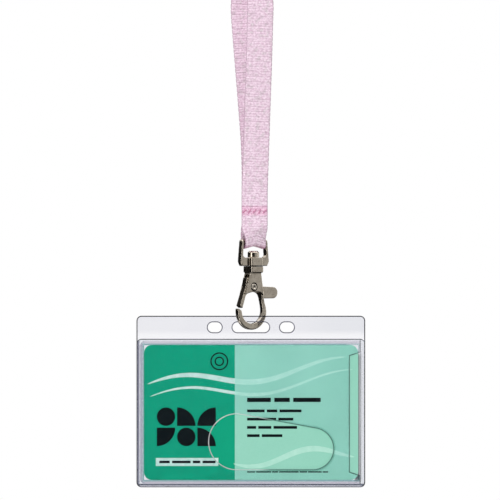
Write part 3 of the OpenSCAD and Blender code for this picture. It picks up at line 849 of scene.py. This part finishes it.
above_pocket = along_axis(2, -140.6, -143.6)
card_edge_shadow = overlap(band(0, 41, 42, 42.8, 44.8), band(2, -202, -200.2, -151.6, -148.6))
header_right = overlap(along_axis(0, 15, 36), along_axis(2, -144.6, -144.2))
around_slots = overlap(band(2, -142.8, -142.3, -137.4, -137.0), band(0, -44, -43, 43, 44))
# The back sheet holds a painted shadow beside the card's right edge.
clear_sheet = vinyl(
    "clear_sheet_vinyl", (237, 237, 243), (245, 245, 249), 0.25 * MM, (246, 246, 248), marks=(
        (header_right, (236, 237, 242)), (above_pocket, (252, 252, 255)),
        (card_edge_shadow, (110, 120, 122))))
# The sheet's cut edge is painted dark as painted shade, and paler round the slots and at the bottom.
cut_sheet = vinyl(
    "sheet_cut_edge", (38, 38, 50), (60, 60, 72), 0.0, (190, 190, 196), 0.7, marks=(
        (around_slots, (112, 112, 124)), (along_axis(2, -203.2, -203.4), (150, 150, 162))))


def slot_cutter(x, size):
    """A block in the shape of a slot with round ends."""
    half = Vector((size.x / 2, cutter_half, size.y / 2))
    middle = Vector((x, (back_low.y + back_high.y) / 2, slot_z))
    cutter = block(middle - half, middle + half)
    round_corners(cutter, size.y / 2 * slot_roundness)
    return cutter


back = block(back_low, back_high)
dress(back, clear_sheet, cut_sheet)
round_corners(back, holder_corner)
for x, size in ((0, slot_size), (-chain_pitch / 2, chain_size), (chain_pitch / 2, chain_size)):
    punch(back, slot_cutter(x, size))
round_edges(back, sheet_edge, edge_band)
seat(back, "back_sheet_cut", "holder", "back_sheet", "clear_sheet")

# Holder's front film: softer clear vinyl, 0.3 mm thick, formed over a block so that its middle
# stands off the back sheet by the card's thickness. Its flat border is welded down with a hot bar.
film_low, film_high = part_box("front_sheet")
card_low, card_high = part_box("card_core")
facing_front = (math.pi / 2, 0, 0)
film_t = 0.3 * MM
weld_gap = 0.03 * MM
weld_low, weld_high = Vector((-44.55, -202.63)) * MM, Vector((43.8, -145.13)) * MM
foot_r = 2.2 * MM
slope_run = 1.6 * MM
slope_steps = 8
window_y = -2.4688 * MM
open_side = 43.8 * MM
open_spare = 6 * MM
flange_y = film_high.y - weld_gap - film_t / 2
rise = flange_y - (window_y + film_t / 2)
thumb_left, thumb_right = Vector((-5.7, -185.53)) * MM, Vector((24.7, -188.33)) * MM
thumb_left_r, thumb_right_r = 11 * MM, 8.2 * MM


def card_gap_shade(tree):
    """Masks the narrow gap that the film bridges round the card, where shade is painted. It is
    fainter at the open corner.
    """
    card_middle = (card_low + card_high) / 2
    places = axes_of(tree, calc_vector(tree, "SUBTRACT", object_place(tree), card_middle)[0])
    half = (card_high - card_low) / 2
    beside, above = (calc(tree, "SUBTRACT", calc(tree, "ABSOLUTE", places[axis]), half[axis])
                     for axis in (0, 2))
    beyond = calc(tree, "MAXIMUM", beside, above)
    bridged = times(tree, ramp(tree, beyond, -0.15 * MM, 0.0), ramp(tree, beyond, 0.7 * MM, 0.4 * MM))
    open_corner = overlap(along_axis(0, 37, 40), along_axis(2, -151.8, -149.8))(tree)
    return times(tree, bridged, calc(tree, "MULTIPLY_ADD", open_corner, -0.4, 1.0))


def beyond_thumb(tree):
    """Masks the film just outside the thumb opening's right half, which shades the card there."""
    places = axes_of(tree, object_place(tree))
    nearest_x, nearest_z, radius = (
        ramp(tree, places[0], thumb_left.x, thumb_right.x, first, last)
        for first, last in zip((*thumb_left, thumb_left_r), (*thumb_right, thumb_right_r)))
    across = calc(tree, "SUBTRACT", places[0], nearest_x)
    upward = calc(tree, "SUBTRACT", places[2], nearest_z)
    apart = calc(tree, "SQRT", calc(tree, "ADD", times(tree, across, across),
                                    times(tree, upward, upward)))
    beyond = calc(tree, "SUBTRACT", apart, radius)
    outside = calc(tree, "GREATER_THAN", beyond, -0.05 * MM)
    return times(tree, ramp(tree, beyond, 1.2 * MM, 0.0), outside, along_axis(0, 0, 9)(tree))


bottom_weld_shade = band(2, -203.3, -203.0, -202.6, -202.2)
left_slope = overlap(steep, along_axis(0, -42, -43))
# The film is painted greyer on its slopes, more at the left border and along the bottom weld, as
# painted shade, and holds painted shade in the gap round the card and beyond the thumb opening.
clear_film = vinyl(
    "clear_film_vinyl", (234, 236, 240), (242, 244, 247), 0.12 * MM, (248, 248, 250), marks=(
        (steep, (200, 199, 210)), (left_slope, (180, 186, 198)),
        (along_axis(0, -44.3, -44.8), (150, 152, 166)), (bottom_weld_shade, (112, 116, 130)),
        (card_gap_shade, (152, 184, 188)), (beyond_thumb, (176, 200, 196))))
# The film's cut edge is painted darker along the top and at the left and paler at the bottom, as
# painted shade and light.
cut_film = vinyl(
    "film_cut_edge", (128, 134, 138), (150, 156, 160), 0.0, (220, 220, 224), 0.92, marks=(
        (along_axis(2, -144.9, -144.7), (74, 74, 86)),
        (along_axis(2, -203.0, -203.2), (156, 156, 168)),
        (along_axis(0, -45.1, -45.3), (96, 96, 106))))
thumb_rim = vinyl(
    "film_thumb_rim", (228, 232, 232), (236, 240, 240), 0.0, (220, 220, 224), 0.55, marks=(
        (along_axis(0, 3, 9), (122, 166, 156)),))


def upright_plane(low, high, radius):
    """A flat rectangle that faces the front, with its corners rounded, left in edit mode."""
    piece = primitive("plane", ((low[0] + high[0]) / 2, flange_y, (low[1] + high[1]) / 2),
                      size=1, rotation=facing_front)
    settle(piece, high[0] - low[0], high[1] - low[1], 1)
    edit_whole()
    bpy.ops.mesh.bevel(offset=radius, segments=8, affect="VERTICES")
    select_whole()
    return piece


def on_flange(point):
    """Whether a point lies in the middle of the film's flat border."""
    return abs(point.co.y - flange_y) < tiny


# The raised middle is stepped up by insets along an even S curve, then trimmed at the open side
raised = upright_plane(weld_low, (weld_high.x + open_spare, weld_high.y), foot_r)
before = 0
for i in range(1, slope_steps + 1):
    now = ease(i / slope_steps)
    bpy.ops.mesh.inset(thickness=slope_run / slope_steps, depth=rise * (now - before))
    before = now
select_whole()
bpy.ops.mesh.bisect(plane_co=(open_side, 0, 0), plane_no=(1, 0, 0), clear_outer=True)
leave_edit()
edit_chosen(raised, "VERT", lambda point: on_flange(point) and abs(point.co.x - open_side) < tiny)
bpy.ops.mesh.edge_face_add()
leave_edit()

# The flat border is filled in between the film's outline and the raised middle's foot
border = upright_plane((film_low.x, film_low.z), (film_high.x, film_high.z), holder_corner)
bpy.ops.mesh.delete(type="ONLY_FACE")
leave_edit()
film = join([raised, border], "front_film")
edit_chosen(film, "EDGE", lambda edge: all(on_flange(film.data.vertices[v]) for v in edge.vertices))
bpy.ops.mesh.fill()
select_whole()
bpy.ops.mesh.dissolve_limited(angle_limit=math.radians(1))
select_whole()
face_outwards()
dress(film, clear_film, cut_film, thumb_rim)
modify(film, "SOLIDIFY", thickness=film_t, offset=0, use_even_offset=True)

# A thumb opening lets the card be pushed, and it leaves by the slit beside the open end
slit_low, slit_high = Vector((39.5, -197.53)) * MM, Vector((43.8, -151.23)) * MM
slit_past, slit_flare = 2 * MM, 2.1 * MM
film_edge = 0.1 * MM
film_band = 0.26 * MM
cut_through = (film_low.y - MM, film_high.y - 0.9 * MM)


def disc_cutter(middle, radius):
    """Adds a short cylinder that goes through the film round a point."""
    return settle(primitive("cylinder", (middle.x, sum(cut_through) / 2, middle.y), vertices=96,
                            radius=radius, depth=cut_through[1] - cut_through[0],
                            rotation=facing_front))


thumb = join([disc_cutter(thumb_left, thumb_left_r), disc_cutter(thumb_right, thumb_right_r)],
             "thumb_cutter")
edit_whole()
bpy.ops.mesh.convex_hull()
leave_edit()
punch(film, thumb)
slit = block((slit_low.x, cut_through[0], slit_low.y),
             (slit_high.x + slit_past, cut_through[1], slit_high.y))
for vertex in slit.data.vertices:
    if vertex.co.x > slit_high.x:
        vertex.co.z += slit_flare * (1 if vertex.co.z > (slit_low.y + slit_high.y) / 2 else -1)
punch(film, slit)
round_edges(film, film_edge, film_band)

# The thumb opening's rim is cloudier than the other cut edges and painted paler as a painted
# highlight, and at the right it is painted in dark green shade
rim_x, rim_half = 8 * MM, 28 * MM
rim_low, rim_high = -199 * MM, -171 * MM
for face in film.data.polygons:
    by_thumb = abs(face.center.x - rim_x) < rim_half and rim_low < face.center.z < rim_high
    if face.material_index == 1 and by_thumb:
        face.material_index = 2
seat(film, "front_film", "holder", "front_sheet", "clear_film")

# Card: white plastic printed over its front in two greens. The print's grain is a little uneven,
# and its thin clear coat is satin. Below are each layer's node, material, two colours and roughness.
card_layers = (
    ("card_core", "card_white", (238, 239, 237), (246, 246, 244), 0.45),
    ("card_green_field", "card_deep_green", (0, 156, 119), (2, 169, 132), 0.4),
    ("card_mint_field", "card_mint", (143, 207, 185), (161, 219, 200), 0.4),
    ("card_back_film", "card_back_white", (240, 240, 238), (247, 247, 245), 0.35))
coat_ior = 1.3

card_grain, grain_in, put_out = new_group(
    "card grain", {"Ink": "Color", "Thin": "Color"}, {"Colour": "Color", "Height": "Float"})
grain_place = object_place(card_grain)
speck = noise(card_grain, grain_place, 2600.0, 2.0)
uneven = times(card_grain, speck, noise(card_grain, grain_place, 60.0, 3.0))
put_out(Colour=blend_colour(card_grain, uneven, grain_in["Ink"], grain_in["Thin"]), Height=speck)


def printed(name, ink, thin, roughness):
    """A printed or bare surface of the card."""
    made, tree = new_material(name)
    grain = put(tree, "Group", {"node_tree": card_grain}, Ink=ink, Thin=thin).outputs
    finish_material(tree, principled(tree, grain["Colour"], Roughness=roughness, IOR=coat_ior,
                                     Normal=bumps(tree, grain["Height"], 0.3, 0.01 * MM)))
    return made


for node, *look in card_layers:
    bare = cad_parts[node]
    bare.data.materials.clear()
    dress(bare, printed(*look))

# Card's print: plain marks that stand for a design, in thin ink on the two fields. The pale bands lie
# under the dark marks. Places on the face and sizes of marks are in millimetres.
card_face = -2.1088 * MM
ink_t = 0.01 * MM
ink_share = 0.9
pale_y, dark_y = card_face - ink_t / 2, card_face - ink_t * 1.5
field_split = -6.4 * MM
band_steps = 72


def flat_mark(kind, x, z, y, **shape):
    """Adds a flat primitive that faces the front."""
    return primitive(kind, (x * MM, y, z * MM), rotation=facing_front, **shape)


def disc(x, z, radius):
    """A dark disc."""
    return flat_mark("circle", x, z, dark_y, vertices=64, radius=radius * MM, fill_type="NGON")


def bar(x, z, width, height, y):
    """A rectangle whose left end is at x."""
    return settle(flat_mark("plane", x + width / 2, z, y, size=MM), width, height, 1)


def quarter(x, z, size, right, up):
    """A quarter disc that fills a square tile from one of its corners."""
    piece = settle(disc(x, z, size))
    enter_edit()
    for direction in ((right, 0, 0), (0, 0, up)):
        select_whole()
        bpy.ops.mesh.bisect(plane_co=(x * MM, dark_y, z * MM), plane_no=direction, clear_inner=True)
    leave_edit()
    return piece


def ring_mark(x, z, radius, width):
    """A dark ring, given by its outer radius and its width."""
    piece = disc(x, z, radius)
    enter_edit()
    bpy.ops.mesh.inset(thickness=width * MM)
    bpy.ops.mesh.delete(type="FACE")
    leave_edit()
    return piece


def wave_band(start, end, swing, turns, width, lead):
    """A pale band from start to end that swings from side to side and thins towards its ends."""
    piece = settle(flat_mark("grid", 0, 0, pale_y, x_subdivisions=band_steps, y_subdivisions=1,
                             size=1))
    for vertex in piece.data.vertices:
        share = vertex.co.x + 0.5
        side = 1 if vertex.co.z > 0 else -1
        swung = swing * math.sin(math.tau * (turns * share + lead))
        middle = start[1] + (end[1] - start[1]) * share + swung
        half = width / 2 * math.sin(math.pi * share) ** 0.5
        vertex.co = ((start[0] + (end[0] - start[0]) * share) * MM, pale_y,
                     (middle + side * half) * MM)
    return piece


def bar_row(x, z, height, gap, widths):
    """Dark bars in a row, with gaps between them."""
    row = []
    for width in widths:
        row.append(bar(x, z, width, height, dark_y))
        x += width + gap
    return row


def ink(pieces, name, made):
    """Joins flat marks, gives the ink its thickness and hands it to the card."""
    layer = join(pieces, name)
    modify(layer, "SOLIDIFY", thickness=ink_t * ink_share, offset=0)
    seat(layer, name, "card", None, "card_white", made)


pale = [wave_band((-41.5, -163.5), (38, -154.5), 3.0, 1.25, 2.2, 0.05),
        wave_band((-40.5, -168.5), (41, -159.5), 3.0, 1.25, 1.3, 0.05),
        wave_band((-7, -193.5), (41.5, -189.5), 2.6, 1.1, 2.4, 0.55),
        bar(-38, -193.6, 25, 3.2, pale_y)]
dark = [ring_mark(-12.6, -153.4, 3.6, 0.55), ring_mark(-12.6, -153.4, 1.9, 0.55)]

# Tiles, as column, row and the way that a quarter disc points, to the side and up. Two are whole
# discs.
tile, tile_gap = 7.4, 0.7
tiles_left, tiles_top = -37.6, -171.8
for column, row, right, up in ((0, 0, 0, 0), (1, 0, 1, 1), (2, 0, -1, 1),
                               (0, 1, 1, -1), (1, 1, 0, 0), (2, 1, 1, 1)):
    left = tiles_left + column * (tile + tile_gap)
    top = tiles_top - row * (tile + tile_gap)
    if right:
        corner_x = left if right > 0 else left + tile
        corner_z = top - tile if up > 0 else top
        dark.append(quarter(corner_x, corner_z, tile, right, up))
    else:
        dark.append(disc(left + tile / 2, top - tile / 2, tile / 2))

# Rows of bars at the right, as height on the card, thickness and widths, and one on the pale bar
rows_x, row_gap = -1.5, 0.8
for z, height, widths in ((-168.8, 1.7, (9.5, 6.2, 11.0)), (-173.2, 1.1, (7.0, 4.2, 8.8)),
                          (-176.5, 1.1, (11.6, 6.0)), (-179.8, 1.1, (3.6, 5.2, 9.4)),
                          (-183.1, 1.1, (5.0, 8.2)),
                          (-197.6, 0.5, (3.2, 6.0, 2.4, 7.8, 3.0, 5.4, 2.2))):
    dark += bar_row(rows_x, z, height, height * row_gap, widths)
dark += bar_row(-36.6, -193.6, 1.0, 0.9, (4.2, 7.4, 3.0, 5.2))

pale_ink, tree = new_material("pale_ink")
place = object_place(tree)
patchy = noise(tree, place, 420.0, 3.0)
on_deep = blend_colour(tree, patchy, (150, 212, 190), (232, 240, 236))
on_mint = blend_colour(tree, patchy, (156, 216, 196), (190, 232, 216))
over_mint = calc(tree, "GREATER_THAN", axes_of(tree, place)[0], field_split)
finish_material(tree, principled(tree, blend_colour(tree, over_mint, on_deep, on_mint),
                                 Roughness=0.4, IOR=coat_ior))
ink(pale, "card_pale_bands", pale_ink)
ink(dark, "card_dark_marks", printed("dark_ink", (8, 16, 20), (24, 34, 36), 0.35))

# Studio: a pale round floor below the object, three soft lamps, and a world that is white where the
# camera sees it. Metal and plastic mirror a dark room there, with pale cards and bright strips.
floor_drop = 60 * MM
floor_radius = 0.42
floor = primitive("circle", (0, 0, cad_box[0][2] - floor_drop), vertices=96, radius=floor_radius,
                  fill_type="NGON")
floor.name = "floor"
floor.visible_glossy = floor.visible_transmission = False
floor_white, tree = new_material("floor_white")
finish_material(tree, principled(tree, (240, 240, 240), Roughness=0.7))
dress(floor, floor_white)

world = bpy.data.worlds.new("studio")
bpy.context.scene.world = world
world.use_nodes = True
tree = world.node_tree
tree.nodes.clear()
path = put(tree, "LightPath").outputs
east, north, up = axes_of(tree, put(tree, "TexCoord").outputs["Generated"])
glossy, through = path["Is Glossy Ray"], path["Is Transmission Ray"]
room_dark = 0.012
plain_level = 0.54
behind = (0.35, 0.6)


def strip(value, middle, half, high):
    """A bright strip round a value on an axis."""
    off_middle = calc(tree, "ABSOLUTE", calc(tree, "SUBTRACT", value, middle))
    return soft_ramp(tree, off_middle, half, half * 0.5, 0.0, high)


def less(value):
    """What a value leaves of 1."""
    return calc(tree, "SUBTRACT", 1.0, value)


straight = calc(tree, "LESS_THAN", path["Glossy Depth"], 0.5)
either_end = soft_ramp(tree, calc(tree, "ABSOLUTE", north), *behind)
seen_through = calc(tree, "MAXIMUM", soft_ramp(tree, north, *behind, 0.02, 1.0),
                    times(tree, straight, either_end))
right_card = times(tree, soft_ramp(tree, east, 0.25, 0.8, 0.0, 0.47),
                   soft_ramp(tree, north, 0.5, 0.1), soft_ramp(tree, up, -0.5, -0.16),
                   soft_ramp(tree, up, 0.6, 0.2))
left_card = times(tree, soft_ramp(tree, east, -0.62, -0.82, 0.0, 0.42),
                  soft_ramp(tree, up, 0.14, 0.34), soft_ramp(tree, north, 0.05, 0.2))
left_strip = times(tree, strip(east, -0.62, 0.16, 3.5), soft_ramp(tree, north, 0.0, -0.3))
rim_strip = times(tree, strip(north, 0.42, 0.16, 2.2), soft_ramp(tree, east, 0.5, 0.8))
top_card = soft_ramp(tree, up, 0.42, 0.72, 0.0, 2.0)
mirrored = calc(tree, "ADD", right_card, room_dark)
for card in (left_strip, left_card, top_card, rim_strip):
    mirrored = calc(tree, "MAXIMUM", mirrored, card)
level = times(tree, less(calc(tree, "MAXIMUM", glossy, through)), plain_level)
for share in (times(tree, through, seen_through), times(tree, glossy, less(through), mirrored)):
    level = calc(tree, "ADD", level, share)
back = put(tree, "Background", Color=(255, 255, 255),
           Strength=calc(tree, "MAXIMUM", path["Is Camera Ray"], level))
put(tree, "OutputWorld", Surface=back.outputs[0])

for name, spot, side, watts in (("key", (-0.55, -0.75, 0.35), 0.35, 4.8),
                                ("fill", (0.6, -0.8, 0.05), 0.5, 1.7),
                                ("back", (0.35, 0.9, 0.1), 0.5, 2.6)):
    bpy.ops.object.light_add(type="AREA", location=spot)
    lamp = bpy.context.object
    lamp.name = name
    lamp.data.shape = "RECTANGLE"
    lamp.data.size = lamp.data.size_y = side
    lamp.data.energy = watts
    lamp.visible_glossy = False
    lamp.rotation_euler = (view_middle - Vector(spot)).to_track_quat("-Z", "Y").to_euler()
